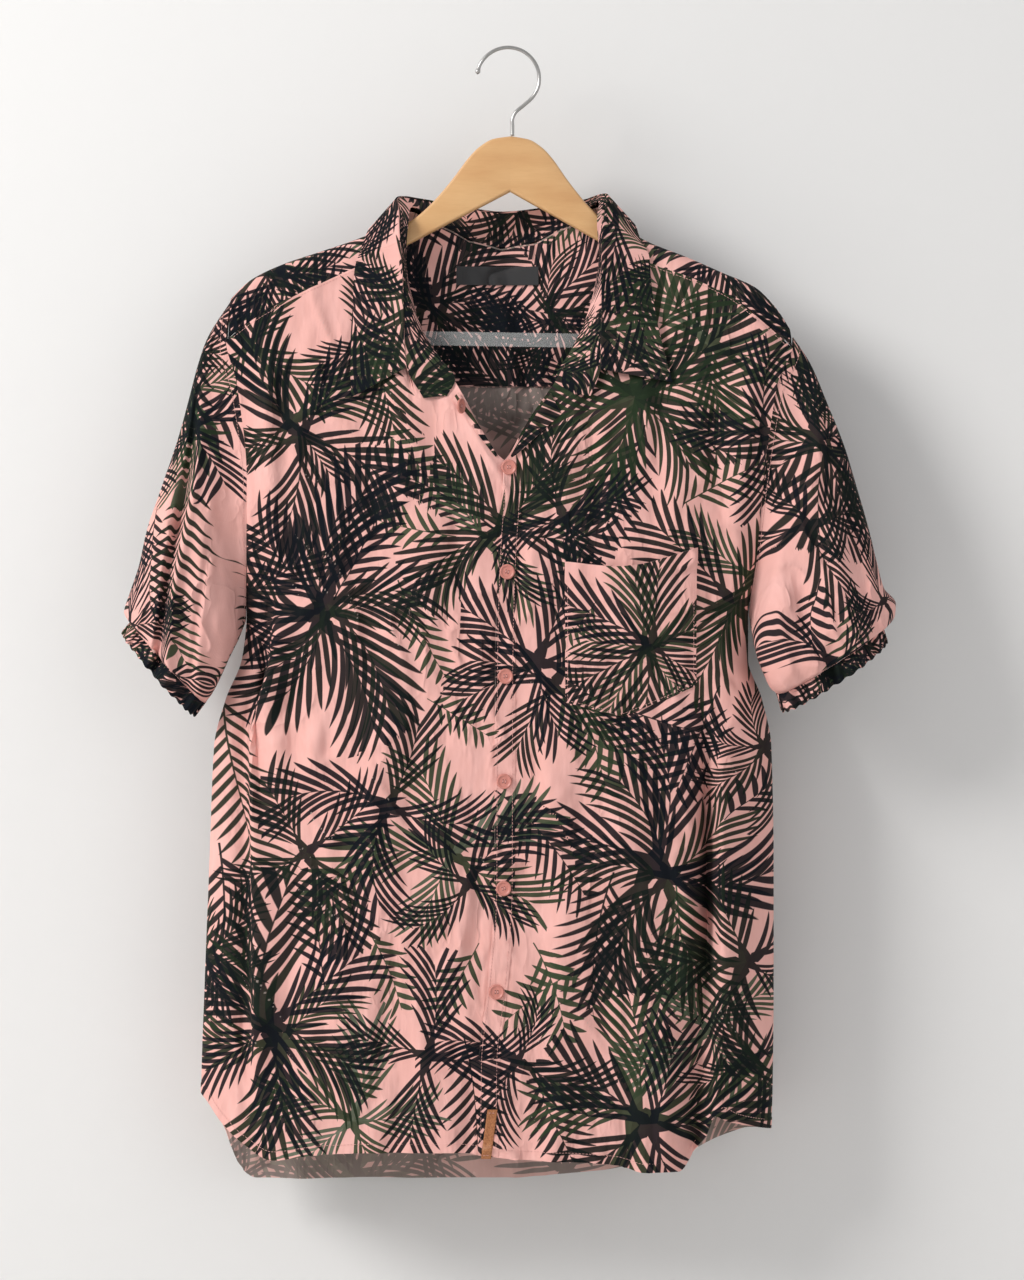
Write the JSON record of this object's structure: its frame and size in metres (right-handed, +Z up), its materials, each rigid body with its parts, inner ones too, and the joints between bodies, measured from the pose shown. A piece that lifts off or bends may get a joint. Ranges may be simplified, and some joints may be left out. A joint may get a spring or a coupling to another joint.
{
  "type": "hawaiian shirt on a clothes hanger",
  "caption": "Short-sleeved buttoned shirt with an open collar, chest pocket and palm-leaf print, hanging on a curved wooden clothes hanger with a steel hook.",
  "frame": {"origin": "the inside of the hook's top, where a rail carries it", "axes": "+Z up; the front of the shirt faces -Y; +X is toward the wearer's left"},
  "size_m": [0.6643, 0.1093, 0.9797],
  "materials": {
    "printed_cloth": "matte",
    "label_cloth": "satin",
    "leather": "satin",
    "button_plastic": "satin",
    "maple": "satin",
    "clear_plastic": "gloss",
    "steel": "satin"
  },
  "bodies": {
    "root": {"right_front": "printed_cloth", "left_front": "printed_cloth", "back": "printed_cloth", "back_yoke": "printed_cloth", "inner_yoke": "printed_cloth", "right_sleeve": "printed_cloth", "left_sleeve": "printed_cloth", "right_cuff": "printed_cloth", "left_cuff": "printed_cloth", "collar_stand": "printed_cloth", "collar_leaf": "printed_cloth", "placket_band": "printed_cloth", "right_facing": "printed_cloth", "left_facing": "printed_cloth", "pocket": "printed_cloth", "neck_label": "label_cloth", "leather_tab": "leather", "button_1": "button_plastic", "button_2": "button_plastic", "button_3": "button_plastic", "button_4": "button_plastic", "button_5": "button_plastic", "button_6": "button_plastic", "collar_button": "button_plastic", "hanger_body": "maple", "hanger_bar": "clear_plastic", "hanger_hook": "steel"}
  },
  "joints": []
}
